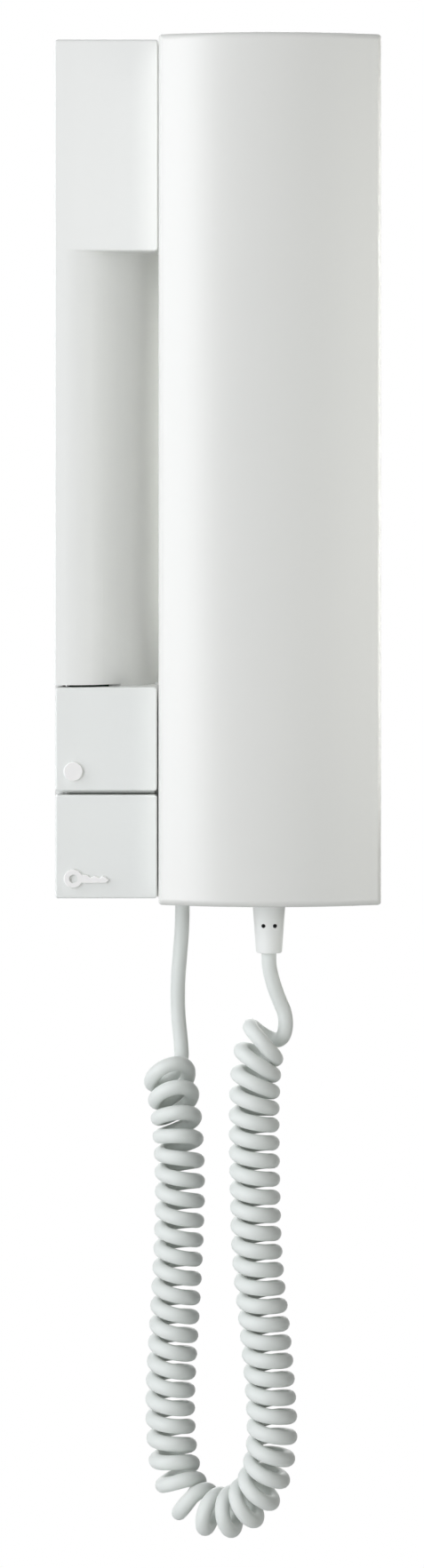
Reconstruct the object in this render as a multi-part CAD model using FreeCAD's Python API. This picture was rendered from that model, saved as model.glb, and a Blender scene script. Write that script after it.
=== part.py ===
import FreeCAD, Part
import math
import os

V = FreeCAD.Vector

# Everything is in millimetres. X runs to the right seen from the front, Y into the wall and Z up.
# The origin is on the wall, midway between the two wall screws.

# Base
base_left = -41.6
base_right = 40.6
base_top = 109.25
base_bottom = -109.25
cover_back = -0.5             # the rim of the cover stops short of the wall
cover_wall = 2.0
column_right = -15.2
column_face = -28.0
cradle_face = -14.0           # seat of the handset's two ends
corner_radius = 0.9
edge_radius = 0.5

# Finger scoop beside and behind the grip
scoop_top = 55.5
scoop_bottom = -54.85
scoop_start = -38.6
scoop_entry_radius = 16.0
scoop_entry_angle = math.radians(36.0)
scoop_roll_radius = 60.0
scoop_right = -15.0           # the roll ends here and the floor behind the grip is level

# Push plates in the column's lower end
button_width = 25.9
button_height = 26.3
upper_button_z = -68.55
lower_button_z = -95.85
button_back = -23.2
button_face_wall = 1.8
button_skirt = 1.4
button_travel = 1.5
button_corner = 0.8
lip_depth = 3.2
upper_lip = 0.7               # closes the gap to the lower plate
lower_lip = 0.25              # level with the base's bottom
pocket_rim = button_back + button_travel + 0.3
pocket_top = -55.4
pocket_wall = 1.2
stem_radius = 3.0
leg_width = 8.0
leg_wall = 1.4
leg_end = -14.4
barb_reach = 0.9
catch_reach = 1.2
catch_front = -18.0
catch_back = -16.5
side_clearance = 0.35

# Raised signs on the push plates
sign_height = 0.8
sign_rounding = 0.25
sign_x = -36.7
disc_z = -76.7
disc_radius = 2.42
key_z = -103.9
key_bow_radius = 2.37
key_hole_radius = 1.06

# Handset
handset_middle = 13.0
handset_half_width = 27.9
handset_half_length = 109.3
crown_face = -46.6
crown_drop = 5.4
split_plane = -32.0
handset_wall = 2.2
handset_corner = 0.9
handset_edge = 1.8
rear_face = -14.35
grip_face = -25.5
grip_top = 49.0
grip_bottom = -45.0
shoulder_top = 60.0
shoulder_bottom = -58.0
rear_edge = 2.0
shoulder_radius = 7.0
lap_height = 1.6
lap_wall = 1.0
lap_clearance = 0.1

# Earpiece and mouthpiece cups, and the wells that they hang in
ear_z = 78.0
ear_radius = 20.0
ear_face = -7.5
mouth_z = -92.0
mouth_radius = 13.0
mouth_face = -9.0
cup_taper = 0.9
cup_wall = 1.6
well_clearance = 0.7
well_depth_clearance = 0.6
well_wall = 1.5
wedge_inset = 0.3
slant_step = 0.1

# Wall plate
plate_front = -2.5
plate_inset = 2.3
cable_half_width = 10.0
cable_half_height = 20.0
wall_screw_z = 30.0
wall_screw_radius = 2.25

# Circuit board, flat in the column
board_left = -38.4
board_right = -17.6
board_half_length = 102.0
board_back = -6.0
board_front = -7.6

# Hook lever
hook_x = 13.18
hook_pivot_y = -5.6
hook_pivot_z = -50.0
hook_pin_radius = 1.0
hook_running_clearance = 0.05
hook_hub_radius = 1.9
hook_arm_half = 3.0
hook_pad_half = 4.0
hook_pad_top = -62.0
hook_pad_bottom = -68.0
hook_pad_face = -13.95

# Cord
wire_radius = 1.9
coil_radius = 4.55
coil_turns = 51.14
coil_top_left = -150.0        # the turns begin here, under the base
coil_top_right = -141.0       # and end here, under the handset
coil_first_angle = math.radians(50.0)
ramp_length = 5.0             # the wire takes this much of the route to reach its steady turning
bend_window = 4.0             # the route's bend is taken over this much each way
base_exit_x = -9.2
base_exit_y = -7.5
grommet_face = base_bottom - 1.0
grommet_back = base_bottom + cover_wall + 0.9
grommet_radius = 3.5
grommet_neck = 2.8
sheath_end = -95.0
saddle_front = -10.3
bush_x = 12.9
bush_tip = -122.2
bush_tip_radius = 3.28
bush_root_radius = 4.19
bush_flange_radius = 4.7
bush_flange_height = 2.1
bush_hole_z = -115.1
bush_hole_x = 1.45
bush_hole_radius = 0.5

column_middle = (base_left + cover_wall + column_right - cover_wall) / 2


def box(x0, x1, y0, y1, z0, z1):
    return Part.makeBox(x1 - x0, y1 - y0, z1 - z0, V(x0, y0, z0))


def rod_x(y, z, radius, x0, x1):
    return Part.makeCylinder(radius, x1 - x0, V(x0, y, z), V(1, 0, 0))


def rod_y(x, z, radius, y0, y1):
    return Part.makeCylinder(radius, y1 - y0, V(x, y0, z), V(0, 1, 0))


def rod_z(x, y, radius, z0, z1):
    return Part.makeCylinder(radius, z1 - z0, V(x, y, z0), V(0, 0, 1))


def fuse(shapes):
    return shapes[0].multiFuse(shapes[1:]).removeSplitter()


def edges_in_plane(shape, axis, place):
    """Edges whose ends and middle all lie on one plane square to X, Y or Z."""
    found = []
    for edge in shape.Edges:
        middle = edge.valueAt((edge.FirstParameter + edge.LastParameter) / 2)
        points = [vertex.Point for vertex in edge.Vertexes] + [middle]
        if all(abs(getattr(point, axis) - place) < 1e-4 for point in points):
            found.append(edge)
    return found


def edges_along_y(shape, x, z):
    """Edges parallel to Y that pass through one place in the front view."""
    along_x = edges_in_plane(shape, "x", x)
    return [e for e in along_x if all(abs(v.Point.z - z) < 1e-4 for v in e.Vertexes)]


def runs_along(edge, axis):
    """Whether an edge is straight and parallel to X, Y or Z."""
    return edge.Curve.TypeId == "Part::GeomLine" and abs(getattr(edge.tangentAt(0), axis)) > 0.999


def edges_along_y_all(shape):
    return [edge for edge in shape.Edges if runs_along(edge, "y")]


def face_of(points):
    return Part.Face(Part.makePolygon(points + [points[0]]))


def arc_about(centre, radius, first, last):
    """Arc in a level plane. Angles start at straight ahead, towards the viewer, and grow to the right."""
    spots = [
        centre + V(math.sin(angle), -math.cos(angle), 0) * radius
        for angle in (first, (first + last) / 2, last)
    ]
    return Part.Arc(*spots)


def save(name, shape):
    solids = shape.Solids
    if not solids or not all(solid.isValid() for solid in solids):
        raise ValueError(name + " isn't made of valid solids")
    shape.exportStep("parts/" + name + ".step")
    volume = sum(solid.Volume for solid in solids)
    print(f"{name}: {len(solids)} solid(s), {volume:.1f} mm3")


# Front cover

scoop_entry_centre = V(scoop_start, column_face + scoop_entry_radius, 0)
scoop_way = V(math.sin(scoop_entry_angle), -math.cos(scoop_entry_angle), 0)
scoop_join = scoop_entry_centre + scoop_way * scoop_entry_radius
scoop_roll_centre = scoop_join - scoop_way * scoop_roll_radius
scoop_end_angle = math.asin((scoop_right - scoop_roll_centre.x) / scoop_roll_radius)
scoop_floor = scoop_roll_centre.y - scoop_roll_radius * math.cos(scoop_end_angle)


def scoop_prism(inset, bottom, top):
    """Column face, the roll of the scoop and the floor behind the grip, as one prism."""
    left = base_left + inset
    right = base_right - inset
    face = column_face + inset
    floor = scoop_floor + inset
    back = cover_back if inset == 0 else 0.0
    roll = scoop_roll_radius - inset
    last = math.acos((scoop_roll_centre.y - floor) / roll)
    entry = arc_about(scoop_entry_centre, scoop_entry_radius - inset, 0, scoop_entry_angle)
    body = arc_about(scoop_roll_centre, roll, scoop_entry_angle, last)
    corner = arc_about(V(left + edge_radius, face + edge_radius, 0), edge_radius, -math.pi / 2, 0)
    curves = [
        Part.LineSegment(V(left, back, 0), V(left, face + edge_radius, 0)),
        corner,
        Part.LineSegment(V(left + edge_radius, face, 0), V(scoop_start, face, 0)),
        entry,
        body,
        Part.LineSegment(body.toShape().Vertexes[1].Point, V(right, floor, 0)),
        Part.LineSegment(V(right, floor, 0), V(right, back, 0)),
        Part.LineSegment(V(right, back, 0), V(left, back, 0)),
    ]
    outline = Part.Wire([curve.toShape() for curve in curves])
    outline.translate(V(0, 0, bottom))
    return Part.Face(outline).extrude(V(0, 0, top - bottom))


def upper_column():
    """The flat upper end of the column, rounded where its face drops into the scoop."""
    block = box(scoop_start - 1, column_right, column_face, cover_back, scoop_top, base_top)
    block = block.makeFillet(corner_radius, edges_along_y(block, column_right, scoop_top))
    low_edges = [
        edge
        for edge in edges_in_plane(block, "y", column_face)
        if edge.CenterOfMass.z < base_top - 1 and edge.CenterOfMass.x > scoop_start - 0.9
    ]
    return block.makeFillet(edge_radius, low_edges)


def cover_outside():
    lower_column = box(base_left, column_right, pocket_rim, cover_back, base_bottom, pocket_top)
    upper_seat = box(column_right - 1, base_right, cradle_face, cover_back, scoop_top, base_top)
    lower_seat = box(column_right - 1, base_right, cradle_face, cover_back, base_bottom, scoop_bottom)
    whole = scoop_prism(0, base_bottom, base_top)
    left = base_left - 1
    pocket_front = box(left, column_right, column_face - 1, pocket_rim, base_bottom - 1, scoop_bottom)
    whole = whole.cut(pocket_front)
    whole = fuse([whole, upper_column(), lower_column, upper_seat, lower_seat])
    corners = edges_along_y(whole, base_left, base_top) + edges_along_y(whole, base_left, base_bottom)
    corners += edges_along_y(whole, base_right, base_top) + edges_along_y(whole, base_right, base_bottom)
    whole = whole.makeFillet(corner_radius, corners)
    return whole.makeFillet(edge_radius, edges_in_plane(whole, "z", base_top))


def cover_cavity():
    inner_left = base_left + cover_wall
    inner_right = base_right - cover_wall
    inner_top = base_top - cover_wall
    inner_bottom = base_bottom + cover_wall
    column_inner = column_right - cover_wall
    seat_back = cradle_face + cover_wall
    return fuse([
        scoop_prism(cover_wall, inner_bottom, inner_top),
        box(inner_left, column_inner, column_face + cover_wall, 0, scoop_top + cover_wall, inner_top),
        box(inner_left, inner_right, seat_back, 0, scoop_top + cover_wall, inner_top),
        box(inner_left, column_inner, pocket_rim - 1, 0, inner_bottom, pocket_top - pocket_wall),
        box(inner_left, inner_right, seat_back, 0, inner_bottom, scoop_bottom - cover_wall),
    ])


def well(radius, z, depth, extra):
    """A straight round well, a slanted one and a wedge between them. Together they are all the room
    that a cup passes through as it leaves upwards and outwards at 45 degrees."""
    floor = depth + extra
    mouth = cradle_face - 1
    slant_floor = floor - slant_step
    rise = slant_floor - mouth
    straight = rod_y(handset_middle, z, radius + extra, mouth, floor)
    ring = Part.Circle(V(handset_middle, slant_floor, z), V(0, 1, 0), radius + extra)
    slanted = Part.Face(Part.Wire(ring.toShape())).extrude(V(0, -rise, rise))
    half = radius + extra - wedge_inset
    side = face_of([
        V(0, slant_floor, z - 1), V(0, mouth, z - 1), V(0, mouth, z + rise), V(0, slant_floor, z),
    ])
    wedge = side.extrude(V(2 * half, 0, 0))
    wedge.translate(V(handset_middle - half, 0, 0))
    return straight.fuse(slanted).fuse(wedge)


ear_well = (ear_radius + well_clearance, ear_z, ear_face + well_depth_clearance)
mouth_well = (mouth_radius + well_clearance, mouth_z, mouth_face + well_depth_clearance)
speaker_z = 88.0
slot_pitch = 3.6
cover_screw_x = 32.0
cover_screw_y = -6.2
cover_boss_end = base_bottom + cover_wall + 2.1
cover_boss_radius = 3.4
cover_screw_head = 2.6
cover_screw_shank = 1.45
hook_hole_clearance = 0.6
hook_window_top = hook_pad_top + 2.2
catch_half = 4.0
top_catch_x = (-26.0, 26.0)
top_lip_back = -3.9
top_lip_front = -4.9
slot_back = -12.0
slot_front = -24.0
slot_half_height = 0.6


def button_catches():
    """Ledges inside the pocket that the plates' barbs come to rest against."""
    half = leg_width / 2 + 1
    left = base_left + cover_wall
    right = column_right - cover_wall
    ledges = []
    for z in (upper_button_z, lower_button_z):
        ledges.append(box(left - 0.5, left + catch_reach, catch_front, catch_back, z - half, z + half))
        ledges.append(box(right - catch_reach, right + 0.5, catch_front, catch_back, z - half, z + half))
    return ledges


def front_cover():
    cover = cover_outside().cut(cover_cavity())
    room = box(base_left + 1, base_right - 1, cradle_face, plate_front - 1, base_bottom + 1, base_top - 1)
    places = (ear_well, mouth_well)
    wells = [well(*place, 0) for place in places]
    shells = [well(*place, well_wall).common(room).cut(hole) for place, hole in zip(places, wells)]
    boss = rod_z(cover_screw_x, cover_screw_y, cover_boss_radius, base_bottom + 1, cover_boss_end)
    lips = [
        box(x - catch_half, x + catch_half, top_lip_front, top_lip_back, base_top - 3.4, base_top - 1)
        for x in top_catch_x
    ]
    for hole in wells:
        cover = cover.cut(hole)
    cover = fuse([cover] + shells + [boss] + lips + button_catches())
    pad = hook_pad_half + hook_hole_clearance
    pad_bottom = hook_pad_bottom - hook_hole_clearance
    below = base_bottom - 1
    wall_inside = base_bottom + cover_wall
    cuts = [
        box(hook_x - pad, hook_x + pad, cradle_face - 1, cradle_face + 4, pad_bottom, hook_window_top),
        rod_z(base_exit_x, base_exit_y, grommet_neck + 0.1, below, wall_inside + 1),
        rod_z(cover_screw_x, cover_screw_y, cover_screw_head + 0.3, below, wall_inside),
        rod_z(cover_screw_x, cover_screw_y, cover_screw_shank + 0.25, below, cover_boss_end + 1),
    ]
    slot_right = base_left + cover_wall + 1
    for step in range(-2, 3):
        low = speaker_z + step * slot_pitch - slot_half_height
        high = low + 2 * slot_half_height
        cuts.append(box(base_left - 1, slot_right, slot_front, slot_back, low, high))
    for cut in cuts:
        cover = cover.cut(cut)
    return cover.removeSplitter()


# Wall plate

lug_half = 3.4
lug_front = -9.2
lug_top = -97.5
rim_height = 1.2
rim_width = 1.4
post_radius = 2.6
pilot_radius = 1.2
ear_width = 2.0
ear_front = -7.6
ear_half_height = 2.4
clamp_z = -101.5
clamp_screw_x = -3.9
clamp_seat = -5.6
hook_front = -6.5
hook_barb_front = -5.3


def post_places():
    inset = 2.2
    corners = [
        (x, z)
        for x in (board_left + inset, board_right - inset)
        for z in (-board_half_length + inset, board_half_length - inset)
    ]
    return corners + [(board_right - inset, 0.0)]


def wall_plate():
    left = base_left + plate_inset
    right = base_right - plate_inset
    top = base_top - plate_inset
    bottom = base_bottom + plate_inset
    plate = box(left, right, plate_front, 0, bottom, top)
    rim_front = plate_front - rim_height
    root = plate_front + 1
    inner = box(
        left + rim_width, right - rim_width,
        rim_front - 1, root,
        bottom + rim_width, top - rim_width,
    )
    rim = box(left, right, rim_front, plate_front, bottom, top).cut(inner)
    solids = [plate, rim]
    solids += [rod_y(x, z, post_radius, board_back, root) for x, z in post_places()]
    ear_bottom = hook_pivot_z - ear_half_height
    ear_top = hook_pivot_z + ear_half_height
    for side in (-1, 1):
        near = hook_x + side * (hook_arm_half + 0.3)
        x0, x1 = sorted((near, near + side * ear_width))
        solids.append(box(x0, x1, ear_front, root, ear_bottom, ear_top))
    clamp_seat_box = (base_exit_x - 3.4, base_exit_x + 7.8, clamp_seat, root, clamp_z - 2.5, clamp_z + 2.5)
    solids.append(box(*clamp_seat_box))
    lug_x0 = cover_screw_x - lug_half
    lug_x1 = cover_screw_x + lug_half
    solids.append(box(lug_x0, lug_x1, lug_front, root, cover_boss_end + 0.3, lug_top))
    for x in top_catch_x:
        x0 = x - catch_half
        x1 = x + catch_half
        solids.append(box(x0, x1, hook_front, root, base_top - 6.05, base_top - 4.35))
        solids.append(box(x0, x1, hook_front, hook_barb_front, base_top - 4.75, base_top - 2.95))
    body = fuse(solids)
    opening = box(-cable_half_width, cable_half_width, -6, 1, -cable_half_height, cable_half_height)
    opening = opening.makeFillet(3.0, edges_along_y_all(opening))
    cuts = [opening]
    cuts += [rod_y(0, z, wall_screw_radius, plate_front - 2, 1) for z in (-wall_screw_z, wall_screw_z)]
    cuts += [rod_y(x, z, pilot_radius, board_back - 1, root) for x, z in post_places()]
    cuts.append(rod_x(hook_pivot_y, hook_pivot_z, hook_pin_radius, hook_x - 9, hook_x + 9))
    cuts.append(rod_z(cover_screw_x, cover_screw_y, cover_screw_shank, cover_boss_end, lug_top - 1))
    cuts.append(rod_y(clamp_screw_x, clamp_z, pilot_radius, clamp_seat - 0.4, root))
    notch_top = cover_boss_end + 0.2
    cuts.append(box(cover_screw_x - 4, cover_screw_x + 4, rim_front - 1, plate_front, bottom - 1, notch_top))
    return body.cut(fuse(cuts)).removeSplitter()


recess_half = 0.3


def pan_screw_y(x, z, head_radius, head_height, seat, shank_radius, tip):
    """Pan head screw along Y, with a cross recess. The head stands in front of its seat."""
    head = rod_y(x, z, head_radius, seat - head_height, seat)
    head = head.makeFillet(head_height * 0.45, edges_in_plane(head, "y", seat - head_height))
    screw = head.fuse(rod_y(x, z, shank_radius, seat, tip))
    front = seat - head_height
    reach = head_radius * 0.6
    floor = front + head_height * 0.5
    for half_x, half_z in ((reach, recess_half), (recess_half, reach)):
        screw = screw.cut(box(x - half_x, x + half_x, front - 1, floor, z - half_z, z + half_z))
    return screw


def board_screws():
    screws = [pan_screw_y(x, z, 1.9, 1.5, board_front, pilot_radius, plate_front) for x, z in post_places()]
    return Part.makeCompound(screws)


def cover_screw():
    head_end = base_bottom + 0.1
    seat = base_bottom + cover_wall
    head = rod_z(cover_screw_x, cover_screw_y, cover_screw_head, head_end, seat)
    head = head.makeFillet(0.6, edges_in_plane(head, "z", head_end))
    screw = head.fuse(rod_z(cover_screw_x, cover_screw_y, cover_screw_shank, seat, lug_top - 1.5))
    for half_x, half_y in ((1.5, recess_half), (recess_half, 1.5)):
        recess = box(
            cover_screw_x - half_x, cover_screw_x + half_x,
            cover_screw_y - half_y, cover_screw_y + half_y,
            head_end - 1, head_end + 0.9,
        )
        screw = screw.cut(recess)
    return screw


# Circuit board and what stands on it

block_left = -38.0
block_right = -29.0
block_front = -17.1
block_poles = 6
block_step = 2.6
pole_pitch = 5.0
pole_screw_x = (block_left + block_right - block_step) / 2
block_bottom = 12.0


def pole_places():
    return [block_bottom + pole_pitch * (pole + 0.5) for pole in range(block_poles)]


def circuit_board():
    board = box(board_left, board_right, board_front, board_back, -board_half_length, board_half_length)
    holes = [rod_y(x, z, 1.4, board_front - 1, board_back + 1) for x, z in post_places()]
    return board.cut(fuse(holes))


def terminal_block():
    top = block_bottom + block_poles * pole_pitch
    block = box(block_left, block_right, block_front, board_front, block_bottom, top)
    step_x = block_right - block_step
    cuts = [box(step_x, block_right + 1, block_front - 1, block_front + 3, block_bottom - 1, top + 1)]
    for z in pole_places():
        cuts.append(rod_y(pole_screw_x, z, 1.8, block_front - 1, block_front + 4))
        cuts.append(rod_x(-11.0, z, 1.4, block_right - 5, block_right + 1))
    return block.cut(fuse(cuts))


def terminal_screws():
    screws = []
    for z in pole_places():
        screw = rod_y(pole_screw_x, z, 1.7, block_front + 0.6, block_front + 3.6)
        x0 = pole_screw_x - 2
        x1 = pole_screw_x + 2
        slot = box(x0, x1, block_front, block_front + 1.3, z - recess_half, z + recess_half)
        screws.append(screw.cut(slot))
    return Part.makeCompound(screws)


def call_speaker():
    frame_front = board_front - 6.0
    can = rod_y(column_middle, speaker_z, 9.5, frame_front, board_front)
    ring = rod_y(column_middle, speaker_z, 9.5, frame_front - 1.4, frame_front)
    ring = ring.cut(rod_y(column_middle, speaker_z, 8.2, frame_front - 2, frame_front + 1))
    cone = Part.makeCone(7.6, 3.0, 1.2, V(column_middle, frame_front - 1.2, speaker_z), V(0, 1, 0))
    return fuse([can, ring, cone])


def capacitors():
    cans = []
    for z in (-9.0, -19.0):
        can = rod_y(-33.5, z, 3.15, board_front - 8.0, board_front)
        cans.append(can.makeFillet(0.5, edges_in_plane(can, "y", board_front - 8.0)))
    return Part.makeCompound(cans)


def audio_chip():
    body = box(-27.0, -20.6, board_front - 3.3, board_front - 0.5, -37.0, -27.2)
    pins = []
    for x0, x1 in ((-27.9, -26.8), (-20.8, -19.7)):
        for pin in range(4):
            z = -35.9 + pin * 2.54
            pins.append(box(x0, x1, board_front - 1.6, board_front, z - 0.25, z + 0.25))
    return fuse([body] + pins)


connector_middle = -46.8


def lead_connector():
    low = connector_middle - 5.2
    high = connector_middle + 5.2
    shell = box(-33.0, -28.0, board_front - 6.0, board_front, low, high)
    return shell.cut(box(-32.2, -28.8, board_front - 7.0, board_front - 2.0, low + 0.8, high - 0.8))


# Push plates, their switches and springs

switch_half = 5.8
switch_front = -14.6
plunger_front = -17.6


def switch_body(z):
    half = switch_half
    body = box(column_middle - half, column_middle + half, switch_front, board_front, z - half, z + half)
    body = body.makeFillet(0.6, edges_along_y_all(body))
    return body.cut(rod_y(column_middle, z, stem_radius + 0.3, switch_front - 1, switch_front + 4.6))


def switch_plunger(z):
    plunger = rod_y(column_middle, z, stem_radius, plunger_front, switch_front + 2.0)
    return plunger.makeFillet(0.4, edges_in_plane(plunger, "y", plunger_front))


def button_spring(z):
    """Space of the return spring, as a sleeve round the stem."""
    back = column_face + button_face_wall
    sleeve = rod_y(column_middle, z, 4.4, back, switch_front)
    return sleeve.cut(rod_y(column_middle, z, 3.6, back - 1, switch_front + 1))


def key_sign():
    """Bow and toothed blade, as offsets from the middle of the bow."""
    blade = [
        (2.05, 1.06), (3.45, 0.95), (4.35, 0.32), (5.39, 0.65), (5.98, 0.54), (6.66, 0.18),
        (7.42, 0.65), (8.17, 0.38), (9.07, -0.38), (8.28, -1.13), (2.05, -1.13),
    ]
    front = column_face - sign_height
    outline = face_of([V(sign_x + x, front, key_z + z) for x, z in blade])
    bow = rod_y(sign_x, key_z, key_bow_radius, front, column_face + 0.4)
    key = bow.fuse(outline.extrude(V(0, sign_height + 0.4, 0))).removeSplitter()
    key = key.makeFillet(sign_rounding, edges_in_plane(key, "y", front))
    return key.cut(rod_y(sign_x, key_z, key_hole_radius, front - 1, column_face))


def disc_sign():
    front = column_face - sign_height
    disc = rod_y(sign_x, disc_z, disc_radius, front, column_face + 0.4)
    return disc.makeFillet(sign_rounding, edges_in_plane(disc, "y", front))


def push_plate(z, sign, lip):
    """A plate with its sign, skirt, stem and two barbed legs, and a lip along its lower edge."""
    x0 = column_middle - button_width / 2
    x1 = column_middle + button_width / 2
    z0 = z - button_height / 2
    z1 = z + button_height / 2
    plate = box(x0, x1, column_face, button_back, z0, z1)
    plate = plate.makeFillet(button_corner, edges_along_y_all(plate))
    plate = plate.makeFillet(edge_radius, edges_in_plane(plate, "y", column_face))
    lip_left = x0 + button_corner
    lip_right = x1 - button_corner
    lip_bar = box(lip_left, lip_right, column_face + lip_depth, button_back, z0 - lip, z0 + button_skirt)
    hollow_front = column_face + button_face_wall
    skirt = button_skirt
    plate = plate.cut(box(x0 + skirt, x1 - skirt, hollow_front, button_back + 1, z0 + skirt, z1 - skirt))
    solids = [plate, lip_bar, sign, rod_y(column_middle, z, stem_radius, hollow_front - 0.5, plunger_front)]
    half = leg_width / 2
    for side in (-1, 1):
        wall_x = column_middle + side * (column_right - base_left - 2 * cover_wall) / 2
        outer = wall_x - side * (catch_reach + side_clearance)
        inner = outer - side * leg_wall
        x_low, x_high = sorted((outer, inner))
        solids.append(box(x_low, x_high, hollow_front - 0.5, leg_end, z - half, z + half))
        x_low, x_high = sorted((outer - side * 0.2, outer + side * barb_reach))
        solids.append(box(x_low, x_high, catch_back + 0.3, leg_end, z - half, z + half))
    return fuse(solids)


# Hook lever and switch

hook_switch_x = 25.0
hook_switch_front = -6.0
wing_front = -8.4
wing_back = -6.9


def hook_lever():
    arm_front = hook_pivot_y - 0.9
    arm_back = hook_pivot_y + 0.9
    bottom = hook_pad_bottom
    top = hook_pad_top
    hub = rod_x(hook_pivot_y, hook_pivot_z, hook_hub_radius, hook_x - hook_arm_half, hook_x + 0.6)
    arm = box(hook_x - hook_arm_half, hook_x + 0.6, arm_front, arm_back, bottom, hook_pivot_z)
    pad = box(hook_x - hook_pad_half, hook_x + hook_pad_half, hook_pad_face, arm_back, bottom, top)
    pad = pad.makeFillet(0.8, edges_in_plane(pad, "y", hook_pad_face))
    wing_x0 = hook_x + hook_pad_half - 1
    wing = box(wing_x0, hook_switch_x + 1.6, wing_front, wing_back, bottom + 1.4, top - 1.4)
    lever = fuse([hub, arm, pad, wing])
    bore = hook_pin_radius + hook_running_clearance
    return lever.cut(rod_x(hook_pivot_y, hook_pivot_z, bore, hook_x - 9, hook_x + 9))


def hook_lever_pin():
    pin = rod_x(hook_pivot_y, hook_pivot_z, hook_pin_radius, hook_x - 5.8, hook_x + 5.3)
    return pin.fuse(rod_x(hook_pivot_y, hook_pivot_z, 1.7, hook_x - 6.4, hook_x - 5.4))


def hook_lever_spring():
    """Space of the torsion spring beside the hub, with its two legs."""
    x0 = hook_x + 0.8
    x1 = hook_x + hook_arm_half
    coil = rod_x(hook_pivot_y, hook_pivot_z, 2.0, x0, x1)
    coil = coil.cut(rod_x(hook_pivot_y, hook_pivot_z, 1.3, x0 - 1, x1 + 1))
    long_leg = box(x0, x0 + 0.5, hook_pivot_y + 1.5, hook_pivot_y + 2.0, hook_pivot_z - 7, hook_pivot_z)
    short_leg = box(x1 - 0.5, x1, hook_pivot_y + 1.5, hook_pivot_y + 2.0, hook_pivot_z, hook_pivot_z + 6)
    return fuse([coil, long_leg, short_leg])


def hook_switch():
    middle = (hook_pad_top + hook_pad_bottom) / 2
    x0 = hook_switch_x - 4
    x1 = hook_switch_x + 4
    body = box(x0, x1, hook_switch_front, plate_front, middle - 6.4, middle + 6.4)
    return body.cut(rod_y(hook_switch_x, middle, 1.3, hook_switch_front - 1, hook_switch_front + 2.3))


def hook_switch_plunger():
    middle = (hook_pad_top + hook_pad_bottom) / 2
    plunger = rod_y(hook_switch_x, middle, 1.0, hook_switch_front - 0.6, hook_switch_front + 1.4)
    return plunger.makeFillet(0.3, edges_in_plane(plunger, "y", hook_switch_front - 0.6))


# Handset

handset_left = handset_middle - handset_half_width
handset_right = handset_middle + handset_half_width
crown_radius = (handset_half_width ** 2 + crown_drop ** 2) / (2 * crown_drop)
edge_face = crown_face + crown_drop


def front_block(inset, back):
    """The handset's front as a block: two sides and a cylinder-curved face."""
    left = handset_left + inset
    right = handset_right - inset
    half_length = handset_half_length - inset
    radius = crown_radius - inset
    reach = math.asin((handset_half_width - inset) / radius)
    centre = V(handset_middle, crown_face + crown_radius, 0)
    curve = arc_about(centre, radius, -reach, reach).toShape()
    first = curve.Vertexes[0].Point
    last = curve.Vertexes[1].Point
    sides = Part.makePolygon([last, V(right, back, 0), V(left, back, 0), first])
    outline = Part.Wire([curve] + sides.Edges)
    outline.translate(V(0, 0, -half_length))
    return Part.Face(outline).extrude(V(0, 0, 2 * half_length))


def handset_corners(block):
    return block.makeFillet(handset_corner, edges_along_y_all(block))


screw_places = ((handset_middle, 38.0), (handset_middle, -34.0))
screw_seat = -28.4
screw_head_top = -26.4
screw_tip = -39.5
screw_bore = 1.35
bush_y = split_plane
bush_neck_radius = 3.4


def handset_front_shell():
    block = front_block(0, split_plane)
    front_edges = [e for e in block.Edges if all(v.Point.y < edge_face + 0.6 for v in e.Vertexes)]
    block = handset_corners(block.makeFillet(handset_edge, front_edges))
    shell = block.cut(front_block(handset_wall, split_plane + 1))
    bosses = []
    for x, z in screw_places:
        boss = rod_y(x, z, 3.6, crown_face + 1.0, split_plane - 1.4)
        bosses.append(boss.cut(rod_y(x, z, screw_bore, crown_face + 5.0, split_plane)))
    shell = fuse([shell] + bosses)
    hole = rod_z(bush_x, bush_y, bush_neck_radius + 0.1, -handset_half_length - 1, -handset_half_length + 4)
    return shell.cut(hole).removeSplitter()


def slab(y0, y1):
    """Everything near the object between two depths."""
    return box(-100, 100, y0, y1, -200, 200)


def rear_prism(inset, lap):
    """Side view of the rear shell: two deep ends and the grip between them."""
    x0 = handset_left + inset
    x1 = handset_right - inset
    half = handset_half_length - inset
    ends = rear_face - inset
    grip = grip_face - inset
    front = split_plane - lap
    slope = inset * 0.4
    outline = [
        (front, half), (ends, half), (ends, shoulder_top + slope), (grip, grip_top + slope),
        (grip, grip_bottom - slope), (ends, shoulder_bottom - slope), (ends, -half), (front, -half),
    ]
    return face_of([V(x0, y, z) for y, z in outline]).extrude(V(x1 - x0, 0, 0))


def cup(radius, face, z):
    """Raised round end that seats in one of the base's wells."""
    root = rear_face - 1.0
    solid = Part.makeCone(radius, radius - cup_taper, face - root, V(handset_middle, root, z), V(0, 1, 0))
    solid = solid.makeFillet(1.4, edges_in_plane(solid, "y", face))
    ball = 60.0
    dish = Part.makeSphere(ball, V(handset_middle, face - 0.9 + ball, z))
    return solid.cut(dish)


ear_cavity = 16.5
mouth_cavity = 7.3


def sound_holes(z, rings, radius, y0, y1):
    """Rings of round holes about the middle of a cup: (ring radius, number of holes)."""
    holes = []
    for ring, count in rings:
        for step in range(count):
            angle = 2 * math.pi * step / count
            x = handset_middle + ring * math.cos(angle)
            holes.append(rod_y(x, z + ring * math.sin(angle), radius, y0, y1))
    return holes


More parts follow.
